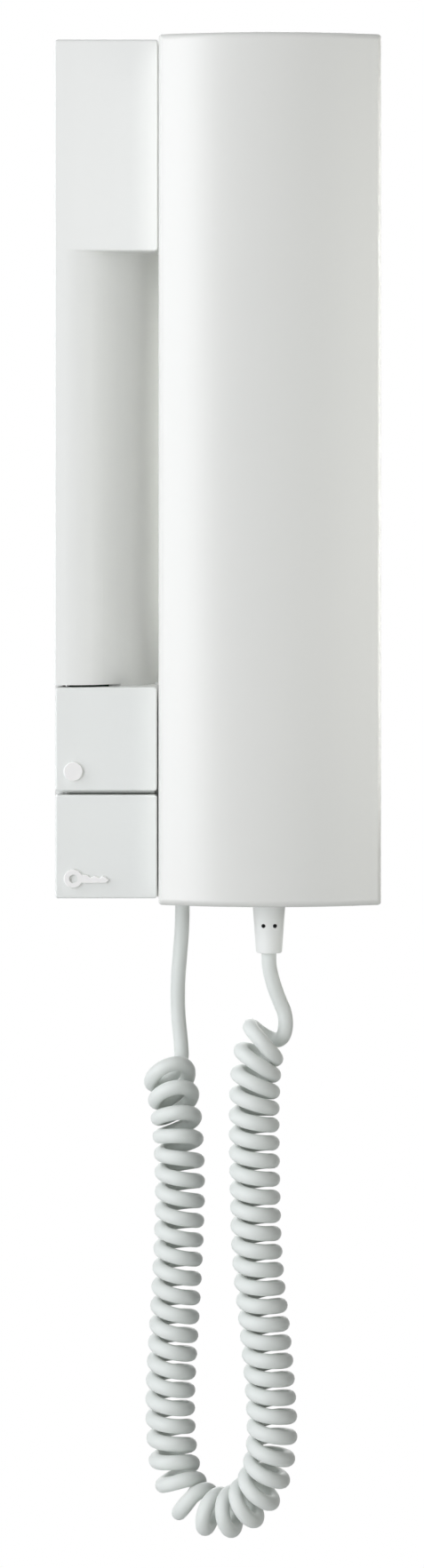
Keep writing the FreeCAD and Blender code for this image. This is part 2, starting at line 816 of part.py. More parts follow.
def handset_rear_shell():
    block = rear_prism(0, 0)
    folds = [
        edge
        for edge in block.Edges
        if runs_along(edge, "x") and abs(edge.CenterOfMass.z) < shoulder_top + 1
    ]
    block = block.makeFillet(shoulder_radius, folds)
    sides = edges_in_plane(block, "x", handset_left) + edges_in_plane(block, "x", handset_right)
    ends = edges_in_plane(block, "z", handset_half_length) + edges_in_plane(block, "z", -handset_half_length)
    rear_edges = [edge for edge in sides if not runs_along(edge, "y")]
    rear_edges += [edge for edge in ends if runs_along(edge, "x")]
    rear_edges = [edge for edge in rear_edges if edge.CenterOfMass.y > split_plane + 1]
    block = handset_corners(block.makeFillet(rear_edge, rear_edges))
    lap_inset = handset_wall + lap_clearance
    lap_root = split_plane + lap_height
    lap = front_block(lap_inset, split_plane + 1).common(slab(split_plane - lap_height, split_plane + 1))
    foot = front_block(handset_wall - 0.3, lap_root).common(slab(split_plane, lap_root))
    lap = lap.fuse(foot).cut(front_block(lap_inset + lap_wall, lap_root + 1))
    shell = block.cut(rear_prism(handset_wall, lap_height + 1))
    cups = [cup(ear_radius, ear_face, ear_z), cup(mouth_radius, mouth_face, mouth_z)]
    bosses = [rod_y(x, z, 4.8, split_plane - 1.2, grip_face - 1) for x, z in screw_places]
    shell = fuse([shell, lap] + cups + bosses)
    end = -handset_half_length
    cuts = [
        rod_y(handset_middle, ear_z, ear_cavity, rear_face - 6, ear_face - cup_wall),
        rod_y(handset_middle, mouth_z, mouth_cavity, rear_face - 6, mouth_face - cup_wall),
        rod_z(bush_x, bush_y, bush_neck_radius + 0.1, end - 1, end + 4),
        rod_z(bush_x, bush_y, bush_flange_radius + 0.2, end + handset_wall, end + 6),
    ]
    cuts += sound_holes(ear_z, ((0, 1), (5.0, 6), (10.0, 12)), 1.2, ear_face - 4, ear_face + 1)
    cuts += sound_holes(mouth_z, ((0, 1), (3.6, 6)), 0.9, mouth_face - 4, mouth_face + 1)
    for x, z in screw_places:
        cuts.append(rod_y(x, z, 3.3, screw_seat, grip_face + 1))
        cuts.append(rod_y(x, z, 1.7, split_plane - 2, grip_face + 1))
    return shell.cut(fuse(cuts)).removeSplitter()


def handset_screws():
    screws = []
    for x, z in screw_places:
        head = rod_y(x, z, 2.9, screw_seat, screw_head_top)
        head = head.makeFillet(0.6, edges_in_plane(head, "y", screw_head_top))
        screw = head.fuse(rod_y(x, z, screw_bore, screw_tip, screw_seat))
        for half_x, half_z in ((1.7, 0.35), (0.35, 1.7)):
            recess = box(
                x - half_x, x + half_x, screw_head_top - 1, screw_head_top + 1, z - half_z, z + half_z
            )
            screw = screw.cut(recess)
        screws.append(screw)
    return Part.makeCompound(screws)


def earpiece_gasket():
    front = ear_face - cup_wall
    ring = rod_y(handset_middle, ear_z, ear_cavity - 0.1, front - 1.0, front)
    return ring.cut(rod_y(handset_middle, ear_z, 13.4, front - 2, front + 1))


def earpiece_capsule():
    front = ear_face - cup_wall - 1.0
    rim = rod_y(handset_middle, ear_z, ear_cavity - 0.4, front - 4.0, front)
    body = Part.makeCone(14.0, 10.0, 4.0, V(handset_middle, front - 4.0, ear_z), V(0, -1, 0))
    magnet = rod_y(handset_middle, ear_z, 8.0, front - 10.0, front - 7.9)
    capsule = fuse([rim, body, magnet])
    recess = rod_y(handset_middle, ear_z, 12.5, front - 1.0, front + 1)
    return capsule.cut(recess)


def microphone_boot():
    front = mouth_face - cup_wall
    boot = rod_y(handset_middle, mouth_z, mouth_cavity - 0.1, front - 6.4, front)
    boot = boot.cut(rod_y(handset_middle, mouth_z, 4.9, front - 7, front - 0.8))
    return boot.cut(rod_y(handset_middle, mouth_z, 2.0, front - 1, front + 1))


def microphone_capsule():
    front = mouth_face - cup_wall - 0.8
    can = rod_y(handset_middle, mouth_z, 4.85, front - 5.2, front)
    return can.makeFillet(0.3, edges_in_plane(can, "y", front))


def cord_bush():
    """Tapered strain relief, held by its neck in the end walls of both shells."""
    root = -handset_half_length
    exposed = root - bush_tip
    taper = Part.makeCone(bush_tip_radius, bush_root_radius, exposed, V(bush_x, bush_y, bush_tip), V(0, 0, 1))
    taper = taper.makeFillet(0.45, edges_in_plane(taper, "z", bush_tip))
    wall_inside = root + handset_wall
    neck = rod_z(bush_x, bush_y, bush_neck_radius, root, wall_inside + 0.1)
    flange = rod_z(bush_x, bush_y, bush_flange_radius, wall_inside + 0.1, wall_inside + bush_flange_height)
    bush = fuse([taper, neck, flange])
    for side in (-1, 1):
        x = bush_x + side * bush_hole_x
        bush = bush.cut(rod_y(x, bush_hole_z, bush_hole_radius, bush_y - 6, bush_y - 1.6))
    return bush


# Cord

def rounded_corner(start, corner, end):
    """Arc from start to end that is tangent to the lines through the corner."""
    half_chord = (end - start).Length / 2
    reach = (corner - start).Length
    cosine = min(1.0, half_chord / reach)
    middle = (start + end) * 0.5
    if (corner - middle).Length < 1e-5:
        return Part.LineSegment(start, end).toShape(), math.inf
    crest = middle + (corner - middle) * (cosine / (1 + cosine))
    radius = reach * cosine / math.sqrt(max(1e-12, 1 - cosine * cosine))
    return Part.Arc(start, crest, end).toShape(), radius


def bent_path(points):
    """Straight runs joined by tangent arcs, each arc as large as its two runs allow."""
    edges = []
    radii = []
    start = points[0]
    for before, corner, after in zip(points, points[1:], points[2:]):
        reach = 0.45 * min((corner - before).Length, (after - corner).Length)
        leave = corner - (corner - before).normalize() * reach
        meet = corner + (after - corner).normalize() * reach
        arc, radius = rounded_corner(leave, corner, meet)
        edges.append(Part.LineSegment(start, leave).toShape())
        edges.append(arc)
        radii.append(radius)
        start = meet
    edges.append(Part.LineSegment(start, points[-1]).toShape())
    return edges, radii


def tube(edges, radius):
    path = Part.Wire(edges)
    first = edges[0]
    ring = Part.Circle(first.valueAt(first.FirstParameter), first.tangentAt(first.FirstParameter), radius)
    return path.makePipeShell([Part.Wire(ring.toShape())], True, False)


def report_tube(name, solid, edges, radii, radius):
    length = sum(edge.Length for edge in edges)
    share = solid.Volume / (math.pi * radius * radius * length)
    tightest = min(radii, default=math.inf)
    print(f"{name}: {length:.1f} mm long, tightest radius {tightest:.1f} mm")
    print(f"{name}: volume over section x length {share:.4f}")


# Points of the cord's route from the base round to the handset. Where the cord is coiled they follow
# the axis of the coil.
cord_route = [
    V(-9.2, -7.5, -110.25),
    V(-9.2, -7.5, -118.0),
    V(-9.7, -7.2, -126.0),
    V(-11.2, -6.6, -135.0),
    V(-12.2, -6.2, -143.0),
    V(-12.7, -7.4, -149.5),
    V(-12.6, -11.6, -156.5),
    V(-10.5, -13.2, -165.0),
    V(-9.7, -12.8, -182.0),
    V(-10.2, -12.6, -202.0),
    V(-11.4, -12.4, -222.0),
    V(-12.4, -12.0, -238.0),
    V(-12.2, -12.0, -248.5),
    V(-11.3, -13.2, -257.0),
    V(-8.0, -16.4, -264.4),
    V(-1.0, -21.2, -267.2),
    V(6.0, -26.2, -264.8),
    V(11.2, -30.0, -258.0),
    V(13.5, -31.8, -249.0),
    V(13.8, -32.2, -240.0),
    V(12.2, -32.2, -220.0),
    V(9.8, -32.1, -200.0),
    V(9.4, -32.0, -180.0),
    V(9.2, -32.0, -163.0),
    V(9.0, -32.0, -154.0),
    V(11.0, -32.0, -147.0),
    V(14.0, -32.0, -139.8),
    V(12.9, -32.0, -131.0),
    V(12.9, -32.0, -122.2),
]
left_join = 2
right_join = 28
wire_straight = 2 * wire_radius
route_step = 0.1
station_turns = 0.25
station_length = 4.0


def middle_of_run(index):
    return (cord_route[index] + cord_route[index + 1]) * 0.5


def route_curve():
    """Smooth curve with the route's points as its poles. It touches each inner run at its middle."""
    count = len(cord_route)
    knots = list(range(count - 1))
    repeats = [3] + [1] * (count - 3) + [3]
    curve = Part.BSplineCurve()
    curve.buildFromPolesMultsKnots(cord_route, repeats, knots, False, 2)
    return curve


def smooth_step(share):
    share = max(0.0, min(1.0, share))
    return share * share * (3 - 2 * share)


def turning_rates(places, ways, first, last):
    """How fast the wire turns about the route, as a share of its rate along a straight leg. Round a bend
    the turns spread, so that they keep their spacing on its inner side."""
    rates = []
    window = round(bend_window / route_step)
    final = len(places) - 1
    for index, place in enumerate(places):
        low = max(0, index - window)
        high = min(final, index + window)
        bend = ways[low].getAngle(ways[high]) / (places[high] - places[low])
        ramp = max(0.0, min(1.0, (place - first) / ramp_length, (last - place) / ramp_length))
        rates.append(ramp * ramp * (1 - coil_radius * bend))
    return rates


def coil_points():
    """Points of the coiled wire in small steps of the route, each with the turns made so far. The wire
    first moves out from the route to the coil's radius, then winds left-handed about the route."""
    curve = route_curve()
    begin = curve.length(curve.FirstParameter, curve.parameter(middle_of_run(left_join))) + wire_straight
    end = curve.length(curve.FirstParameter, curve.parameter(middle_of_run(right_join - 1))) - wire_straight
    count = round((end - begin) / route_step)
    places = [begin + (end - begin) * step / count for step in range(count + 1)]
    spots = [curve.parameterAtDistance(place, curve.FirstParameter) for place in places]
    centres = [curve.value(spot) for spot in spots]
    first = next(place for place, centre in zip(places, centres) if centre.z < coil_top_left)
    last = next(place for place, centre in zip(places[::-1], centres[::-1]) if centre.z < coil_top_right)
    ways = [curve.tangent(spot)[0] for spot in spots]
    rates = turning_rates(places, ways, first, last)
    pitch = sum(rates) * (end - begin) / count / coil_turns
    points = []
    turns = []
    turned = 0.0
    side = V(1, 0, 0)
    for place, along, centre, rate in zip(places, ways, centres, rates):
        side = (side - along * side.dot(along)).normalize()
        angle = coil_first_angle + 2 * math.pi * turned
        share = min((place - begin) / (first - begin), (end - place) / (end - last))
        out = side * math.cos(angle) - along.cross(side) * math.sin(angle)
        points.append(centre + out * (coil_radius * smooth_step(share)))
        turns.append(turned)
        turned += rate * (end - begin) / count / pitch
    print(f"coil: {coil_turns} turns, pitch {pitch:.2f} mm on the legs")
    return points, turns


def biarc(start, start_way, end, end_way):
    """Two arcs that join two points with the given directions."""
    span = end - start
    both = start_way + end_way
    bend = 2 * (1 - start_way.dot(end_way))
    pull = span.dot(both)
    reach = (math.sqrt(pull * pull + bend * span.dot(span)) - pull) / bend
    first_corner = start + start_way * reach
    last_corner = end - end_way * reach
    joint = (first_corner + last_corner) * 0.5
    first_arc, first_radius = rounded_corner(start, first_corner, joint)
    last_arc, last_radius = rounded_corner(joint, last_corner, end)
    return [first_arc, last_arc], [first_radius, last_radius]


def coil_path():
    """Straight end, biarcs between stations a quarter turn apart or closer, straight end."""
    left_way = (cord_route[left_join + 1] - cord_route[left_join]).normalize()
    right_way = (cord_route[right_join] - cord_route[right_join - 1]).normalize()
    left_end = middle_of_run(left_join)
    right_end = middle_of_run(right_join - 1)
    points, turns = coil_points()
    stations = [(left_end + left_way * wire_straight, left_way)]
    last = 0
    final = len(points) - 1
    for index in range(1, final):
        far = turns[index] - turns[last] >= station_turns or (index - last) * route_step >= station_length
        if far and (final - index) * route_step >= station_length / 2:
            stations.append((points[index], (points[index + 1] - points[index - 1]).normalize()))
            last = index
    stations.append((right_end - right_way * wire_straight, right_way))
    edges = [Part.LineSegment(left_end, stations[0][0]).toShape()]
    radii = []
    for (start, start_way), (end, end_way) in zip(stations, stations[1:]):
        arcs, arc_radii = biarc(start, start_way, end, end_way)
        edges += arcs
        radii += arc_radii
    edges.append(Part.LineSegment(stations[-1][0], right_end).toShape())
    return edges, radii


def least_gap(edges, radius):
    """Smallest free space between two stretches of the wire that are three diameters apart along it."""
    spacing = 1.0
    points = []
    for edge in edges:
        count = max(1, round(edge.Length / spacing))
        span = edge.LastParameter - edge.FirstParameter
        points += [edge.valueAt(edge.FirstParameter + span * step / count) for step in range(count)]
    apart = int(6 * radius / spacing)
    best = math.inf
    for index, point in enumerate(points):
        for other in points[index + apart:]:
            if abs(other.z - point.z) < best and abs(other.x - point.x) < best:
                best = min(best, (other - point).Length)
    return best - 2 * radius


def cord_nodes():
    left_points = cord_route[:left_join + 1] + [middle_of_run(left_join)]
    right_points = [middle_of_run(right_join - 1)] + cord_route[right_join:]
    left_edges, left_radii = bent_path(left_points)
    right_edges, right_radii = bent_path(right_points)
    coil_edges, coil_radii = coil_path()
    made = {}
    for name, edges, radii in (
        ("base_cord_tail", left_edges, left_radii),
        ("curly_cord", coil_edges, coil_radii),
        ("handset_cord_tail", right_edges, right_radii),
    ):
        solid = tube(edges, wire_radius)
        report_tube(name, solid, edges, radii, wire_radius)
        made[name] = solid
    edges = left_edges + coil_edges + right_edges
    whole = sum(edge.Length for edge in edges)
    print(f"whole cord: {whole:.1f} mm, least gap to itself {least_gap(edges, wire_radius):.2f} mm")
    return made


def base_grommet():
    """Ring-shaped gland in the base's lower wall, closed round the cord."""
    wall_inside = base_bottom + cover_wall
    outside = rod_z(base_exit_x, base_exit_y, grommet_radius, grommet_face, base_bottom)
    outside = outside.makeFillet(0.4, edges_in_plane(outside, "z", grommet_face))
    neck = rod_z(base_exit_x, base_exit_y, grommet_neck, base_bottom, wall_inside)
    inside = rod_z(base_exit_x, base_exit_y, grommet_radius - 0.2, wall_inside, grommet_back)
    return fuse([outside, neck, inside])


def base_cord_end():
    """The sheath inside the base, from the grommet through the clamp."""
    return rod_z(base_exit_x, base_exit_y, wire_radius, grommet_back, sheath_end)


def base_cord_clamp():
    low = clamp_z - 2.4
    high = clamp_z + 2.4
    left = base_exit_x - wire_radius
    right = base_exit_x + wire_radius
    saddle = box(base_exit_x - 3.2, clamp_screw_x + 2.6, saddle_front, clamp_seat, low, high)
    saddle = saddle.makeFillet(0.6, edges_in_plane(saddle, "y", saddle_front))
    saddle = saddle.cut(rod_z(base_exit_x, base_exit_y, wire_radius, low - 1, high + 1))
    saddle = saddle.cut(box(left, right, base_exit_y, clamp_seat + 1, low - 1, high + 1))
    return saddle.cut(rod_y(clamp_screw_x, clamp_z, pilot_radius + 0.3, saddle_front - 1, clamp_seat + 1))


def base_clamp_screw():
    return pan_screw_y(clamp_screw_x, clamp_z, 2.2, 1.3, saddle_front, pilot_radius, plate_front - 0.2)


def handset_cord_end():
    start = -handset_half_length + handset_wall + bush_flange_height
    return rod_z(bush_x, bush_y, wire_radius, start, start + 7.0)


# Leads inside the base and the handset

lead_radius = 0.45
lead_spacing = 1.15
pin_spacing = 2.2


def thin_leads(routes):
    leads = []
    for points in routes:
        edges, radii = bent_path([V(*point) for point in points])
        leads.append(tube(edges, lead_radius))
    return Part.makeCompound(leads)


def base_leads():
    """Four leads from the end of the sheath up to the connector on the board."""
    routes = []
    for lead in range(4):
        shift = (lead - 1.5) * lead_spacing
        pin_z = connector_middle + (lead - 1.5) * pin_spacing
        side_x = -19.6 + shift * 0.9
        start_x = base_exit_x + shift * 0.7
        routes.append([
            (start_x, base_exit_y, sheath_end),
            (start_x, base_exit_y, sheath_end + 5.0),
            (side_x, base_exit_y - 1.6, -82.0 - shift),
            (side_x, base_exit_y - 1.8, -66.0),
            (side_x - 0.4, base_exit_y - 1.6, pin_z - 8.0),
            (-21.5, -11.6, pin_z),
            (-26.0, -15.6, pin_z),
            (-30.5, -15.2, pin_z),
            (-30.5, board_front - 2.0, pin_z),
        ])
    return thin_leads(routes)


def handset_leads():
    """Two short leads to the microphone and two long ones to the earpiece."""
    start = -handset_half_length + handset_wall + bush_flange_height + 7.05
    routes = []
    for side in (-0.6, 0.6):
        routes.append([
            (bush_x + side, bush_y + 0.7, start),
            (bush_x + side, bush_y + 0.9, start + 3.5),
            (handset_middle + side * 2.2, -27.5, start + 6.8),
            (handset_middle + side * 2.2, -22.0, mouth_z),
            (handset_middle + side * 2.2, mouth_face - cup_wall - 6.0, mouth_z),
        ])
        routes.append([
            (bush_x + side, bush_y - 0.7, start),
            (bush_x + side, bush_y - 0.9, start + 5.0),
            (handset_middle + 11 + side, -35.0, -80.0),
            (handset_middle + 12 + side, -35.5, -50.0),
            (handset_middle + 11 + side, -35.0, 0.0),
            (handset_middle + 10 + side, -34.5, 45.0),
            (handset_middle + 6 + side, -31.0, 68.0),
            (handset_middle + 4 + side, -24.5, 76.5),
            (handset_middle + 4 + side, -20.1, 76.5),
        ])
    return thin_leads(routes)


def build():
    os.makedirs("parts", exist_ok=True)
    nodes = {
        "front_cover": front_cover(),
        "wall_plate": wall_plate(),
        "cover_screw": cover_screw(),
        "circuit_board": circuit_board(),
        "board_screws": board_screws(),
        "terminal_block": terminal_block(),
        "terminal_screws": terminal_screws(),
        "call_speaker": call_speaker(),
        "capacitors": capacitors(),
        "audio_chip": audio_chip(),
        "lead_connector": lead_connector(),
        "hook_lever": hook_lever(),
        "hook_lever_pin": hook_lever_pin(),
        "hook_lever_spring": hook_lever_spring(),
        "hook_switch": hook_switch(),
        "hook_switch_plunger": hook_switch_plunger(),
        "handset_front_shell": handset_front_shell(),
        "handset_rear_shell": handset_rear_shell(),
        "handset_screws": handset_screws(),
        "earpiece_gasket": earpiece_gasket(),
        "earpiece_capsule": earpiece_capsule(),
        "microphone_boot": microphone_boot(),
        "microphone_capsule": microphone_capsule(),
        "cord_bush": cord_bush(),
        "handset_cord_end": handset_cord_end(),
        "handset_leads": handset_leads(),
        "base_grommet": base_grommet(),
        "base_cord_end": base_cord_end(),
        "base_cord_clamp": base_cord_clamp(),
        "base_clamp_screw": base_clamp_screw(),
        "base_leads": base_leads(),
    }
    plates = (
        ("upper", upper_button_z, disc_sign(), upper_lip),
        ("lower", lower_button_z, key_sign(), lower_lip),
    )
    for name, z, sign, lip in plates:
        nodes[name + "_button"] = push_plate(z, sign, lip)
        nodes[name + "_button_spring"] = button_spring(z)
        nodes[name + "_switch"] = switch_body(z)
        nodes[name + "_switch_plunger"] = switch_plunger(z)
    nodes.update(cord_nodes())
    for name, shape in nodes.items():
        save(name, shape)


build()
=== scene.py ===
import math
import bpy
import bmesh
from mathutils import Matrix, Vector


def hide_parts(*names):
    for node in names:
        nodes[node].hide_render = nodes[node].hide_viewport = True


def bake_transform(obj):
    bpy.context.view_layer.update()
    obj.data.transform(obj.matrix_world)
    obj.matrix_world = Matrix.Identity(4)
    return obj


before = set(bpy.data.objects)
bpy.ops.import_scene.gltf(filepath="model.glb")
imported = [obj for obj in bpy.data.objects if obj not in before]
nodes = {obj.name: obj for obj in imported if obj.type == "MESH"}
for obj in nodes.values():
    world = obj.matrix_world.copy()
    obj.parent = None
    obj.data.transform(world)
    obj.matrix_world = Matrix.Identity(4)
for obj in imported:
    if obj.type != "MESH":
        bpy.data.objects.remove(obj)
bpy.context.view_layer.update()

# The handset station hangs on a wall at y = 0. Its front looks along -Y and everything is in metres.


# Camera

photo = {
    "width": 477,
    "height": 1765,
    "scale": 0.2256,           # mm on one pixel at 1 m
    "distance": 1.028,
    "eyeHeight": 0.003,
    "eyePixel": (245.2, 515),  # where the camera's axis meets the picture
    "sensor": 36,              # mm
}


def makeCamera(values):
    data = bpy.data.cameras.new("photoCamera")
    data.sensor_width = values["sensor"]
    data.lens = data.sensor_width * 1000 / (values["height"] * values["scale"])
    data.shift_x = (values["width"] / 2 - values["eyePixel"][0]) / values["height"]
    data.shift_y = (values["eyePixel"][1] - values["height"] / 2) / values["height"]
    camera = bpy.data.objects.new("photoCamera", data)
    camera.location = (0, -values["distance"], values["eyeHeight"])
    camera.rotation_euler = (math.radians(90), 0, 0)
    bpy.context.scene.collection.objects.link(camera)
    bpy.context.scene.camera = camera


makeCamera(photo)
print("camera set")


# Materials. Colours are sRGB, sizes and places of patterns are in millimetres.

def linear(hexColour):
    channels = [int(hexColour[i:i + 2], 16) / 255 for i in (1, 3, 5)]
    return [c / 12.92 if c <= 0.04045 else ((c + 0.055) / 1.055) ** 2.4 for c in channels] + [1]


def addNode(tree, kind, settings=None, **inputs):
    node = tree.nodes.new(kind)
    for name, value in (settings or {}).items():
        setattr(node, name, value)
    for name, value in inputs.items():
        socket = node.inputs[name.replace("_", " ")]
        if hasattr(value, "is_output"):
            tree.links.new(value, socket)
        else:
            socket.default_value = value
    return node


def perMetre(millimetres):
    return 1000 / millimetres


mixFirst, mixSecond, mixResult = 6, 7, 2  # the colour sockets of a Mix node
cloudDetail = 2.0
grainDetail = 3.0
grainRoughness = 0.6


# Injection-moulded plastics and rubber: an even colour with a faint cloud from the melt,
# and the fine grain that the spark-eroded mould leaves, which softens the shine.
plastics = {
    # the cover's mould is spark eroded evenly, which gives a satin white
    "coverAbs": {
        "colour": "#f0f1ee", "shade": "#edeeeb", "roughness": 0.36, "spread": 0.02,
        "grain": 0.9, "grainDepth": 0.0012, "cloud": 45, "ior": 1.53,
        "nodes": ["front_cover"],
    },
    # the handset's mould is finer, so its curve shows a longer, clearer shine; its colour is drawn greyer
    # than the cover's as painted shade
    "handsetAbs": {
        "colour": "#e2e2de", "shade": "#dfe0dc", "roughness": 0.24, "spread": 0.02,
        "grain": 0.9, "grainDepth": 0.0012, "cloud": 60, "ior": 1.53,
        "nodes": ["handset_front_shell", "handset_rear_shell"],
    },
    # the cover's ABS, drawn a little darker than the cover as painted shade; the tops of the raised disc
    # and key are drawn lighter as a painted highlight
    "buttonAbs": {
        "colour": "#e8eae7", "shade": "#e5e7e4", "roughness": 0.36, "spread": 0.02,
        "grain": 0.8, "grainDepth": 0.001, "cloud": 20, "ior": 1.53,
        "signHighlight": "#f0efed", "signPlane": -28.4, "nodes": ["upper_button", "lower_button"],
    },
    # the plate behind is moulded in the same ABS, but its mould was only turned and filed
    "plateAbs": {
        "colour": "#e6e8e6", "shade": "#dfe2e0", "roughness": 0.42, "spread": 0.06,
        "grain": 1.4, "grainDepth": 0.004, "cloud": 30, "ior": 1.53,
        "nodes": ["wall_plate", "base_cord_clamp", "hook_lever"],
    },
    # flexible PVC extruded round the wires: dull and waxy, and greener than the ABS
    "cordPvc": {
        "colour": "#e3e7e3", "shade": "#dfe3df", "roughness": 0.4, "spread": 0.03,
        "grain": 1.2, "grainDepth": 0.002, "cloud": 12, "ior": 1.54, "specular": 0.2,
        "nodes": ["base_grommet", "base_cord_end", "base_cord_tail", "curly_cord", "handset_cord_end",
                  "handset_cord_tail"],
    },
    # the strain relief is the same PVC as the cord, drawn whiter as painted light that makes up for the
    # light the handset
    #  keeps off it; hardly any light gets down its two holes, so their insides are drawn dark
    "bushPvc": {
        "colour": "#f2f4f1", "shade": "#eef0ed", "roughness": 0.5, "spread": 0.03,
        "grain": 1.0, "grainDepth": 0.002, "cloud": 12, "ior": 1.54, "specular": 0.2,
        "holes": (11.45, 14.35), "holeLevel": -115.1, "holeRadius": 0.52, "holeFloor": -33.0,
        "holeShade": "#3c403e", "nodes": ["cord_bush"],
    },
    # thin insulation extruded over stranded wire, grey and dull
    "leadPvc": {
        "colour": "#8f9698", "shade": "#7f8688", "roughness": 0.45, "spread": 0.05,
        "grain": 0.6, "grainDepth": 0.002, "cloud": 6, "ior": 1.54,
        "nodes": ["base_leads", "handset_leads"],
    },
    # glass-filled PBT, black and matt, with the fibres just felt in the grain
    "switchPbt": {
        "colour": "#1c1d1f", "shade": "#151618", "roughness": 0.5, "spread": 0.06,
        "grain": 0.5, "grainDepth": 0.004, "cloud": 5, "ior": 1.57,
        "nodes": ["audio_chip", "hook_switch", "upper_switch", "lower_switch"],
    },
    # natural acetal, cream-coloured and waxy
    "plungerAcetal": {
        "colour": "#e9dfc6", "shade": "#dccfb2", "roughness": 0.35, "spread": 0.04,
        "grain": 0.5, "grainDepth": 0.002, "cloud": 3, "ior": 1.48,
        "nodes": ["upper_switch_plunger", "lower_switch_plunger", "hook_switch_plunger"],
    },
    # moulded polyamide, coloured right through and half matt
    "terminalPolyamide": {
        "colour": "#3f7f55", "shade": "#37724b", "roughness": 0.45, "spread": 0.05,
        "grain": 0.6, "grainDepth": 0.003, "cloud": 8, "ior": 1.53,
        "nodes": ["terminal_block"],
    },
    # natural nylon, cream-coloured with a soft shine
    "connectorNylon": {
        "colour": "#ece6d3", "shade": "#e2dac4", "roughness": 0.4, "spread": 0.05,
        "grain": 0.5, "grainDepth": 0.002, "cloud": 4, "ior": 1.53,
        "nodes": ["lead_connector"],
    },
    # black ABS from a smooth mould
    "capsuleAbs": {
        "colour": "#2a2b2e", "shade": "#222326", "roughness": 0.38, "spread": 0.05,
        "grain": 0.7, "grainDepth": 0.003, "cloud": 10, "ior": 1.53,
        "nodes": ["earpiece_capsule"],
    },
    # pressed nitrile rubber, dull and dusty
    "sealRubber": {
        "colour": "#242424", "shade": "#303130", "roughness": 0.75, "spread": 0.1,
        "grain": 0.4, "grainDepth": 0.006, "cloud": 6, "ior": 1.52,
        "nodes": ["earpiece_gasket", "microphone_boot"],
    },
}

# Metals: fine streaks from the tool or the die run one way, and they spread the shine.
streakDepth = 0.004  # mm
streakDetail = 3.0
metals = {
    # steel wire rod, headed, threaded and zinc plated
    "zincSteel": {
        "colour": "#c3c7cc", "shade": "#aeb3b8", "roughness": 0.3, "spread": 0.08,
        "streak": (0.4, 0.4, 0.08),
        "nodes": ["cover_screw", "board_screws", "hook_lever_pin", "base_clamp_screw", "handset_screws"],
    },
    # spring wire drawn through a die, bright along its length
    "springSteel": {
        "colour": "#a9abad", "shade": "#8d9092", "roughness": 0.25, "spread": 0.06,
        "streak": (0.1, 0.1, 0.6),
        "nodes": ["upper_button_spring", "lower_button_spring", "hook_lever_spring"],
    },
    # brass turned on a lathe, which leaves fine rings
    "terminalBrass": {
        "colour": "#c9a96a", "shade": "#b09055", "roughness": 0.3, "spread": 0.08,
        "streak": (0.3, 0.05, 0.3),
        "nodes": ["terminal_screws"],
    },
    # deep-drawn tinplate of the call speaker and the microphone's can
    "drawnTinplate": {
        "colour": "#b9bcbd", "shade": "#a4a7a9", "roughness": 0.35, "spread": 0.1,
        "streak": (0.2, 1.2, 0.2),
        "nodes": ["call_speaker", "microphone_capsule"],
    },
    # impact-extruded aluminium, with soft streaks along the can
    "aluminiumCan": {
        "colour": "#c8cbd0", "shade": "#b4b8bd", "roughness": 0.32, "spread": 0.06,
        "streak": (0.1, 0.9, 0.1),
        "nodes": ["capacitors"],
    },
}

# Glass-cloth laminate under green solder resist: glossy, with the weave just showing through.
laminate = {
    "resist": "#1d5a3c", "weave": "#2b6e4b", "thread": 0.45, "weaveDepth": 0.006, "roughness": 0.3,
    "nodes": ["circuit_board"],
}


def finishNodes(names, material):
    for name in names:
        nodes[name].data.materials.clear()
        nodes[name].data.materials.append(material)


def newMaterial(name):
    material = bpy.data.materials.new(name)
    material.use_nodes = True
    return material, material.node_tree, material.node_tree.nodes["Principled BSDF"]


# painted highlight: what stands out past the sign plane gets the lighter colour, standing in for the
# light that the tops of the disc and key catch
def paintSignHighlight(tree, place, tone, values):
    depth = addNode(tree, "ShaderNodeSeparateXYZ", Vector=place).outputs["Y"]
    raised = addNode(tree, "ShaderNodeMath", {"operation": "LESS_THAN"})
    tree.links.new(depth, raised.inputs[0])
    raised.inputs[1].default_value = values["signPlane"] / 1000
    top = addNode(tree, "ShaderNodeMix", {"data_type": "RGBA"}, Factor=raised.outputs[0])
    tree.links.new(tone, top.inputs[mixFirst])
    top.inputs[mixSecond].default_value = linear(values["signHighlight"])
    return top.outputs[mixResult]


# a hole runs along Y: what lies within its radius and in front of its floor gets the dark colour
def shadeHole(tree, place, tone, across, values):
    split = addNode(tree, "ShaderNodeSeparateXYZ", Vector=place)
    flat = addNode(tree, "ShaderNodeCombineXYZ", X=split.outputs["X"], Z=split.outputs["Z"])
    away = addNode(tree, "ShaderNodeVectorMath", {"operation": "DISTANCE"})
    tree.links.new(flat.outputs[0], away.inputs[0])
    away.inputs[1].default_value = (across / 1000, 0, values["holeLevel"] / 1000)
    inside = addNode(tree, "ShaderNodeMath", {"operation": "LESS_THAN"})
    tree.links.new(away.outputs["Value"], inside.inputs[0])
    inside.inputs[1].default_value = values["holeRadius"] / 1000
    before = addNode(tree, "ShaderNodeMath", {"operation": "LESS_THAN"})
    tree.links.new(split.outputs["Y"], before.inputs[0])
    before.inputs[1].default_value = values["holeFloor"] / 1000
    both = addNode(tree, "ShaderNodeMath", {"operation": "MULTIPLY"})
    tree.links.new(inside.outputs[0], both.inputs[0])
    tree.links.new(before.outputs[0], both.inputs[1])
    deep = addNode(tree, "ShaderNodeMix", {"data_type": "RGBA"}, Factor=both.outputs[0])
    tree.links.new(tone, deep.inputs[mixFirst])
    deep.inputs[mixSecond].default_value = linear(values["holeShade"])
    return deep.outputs[mixResult]


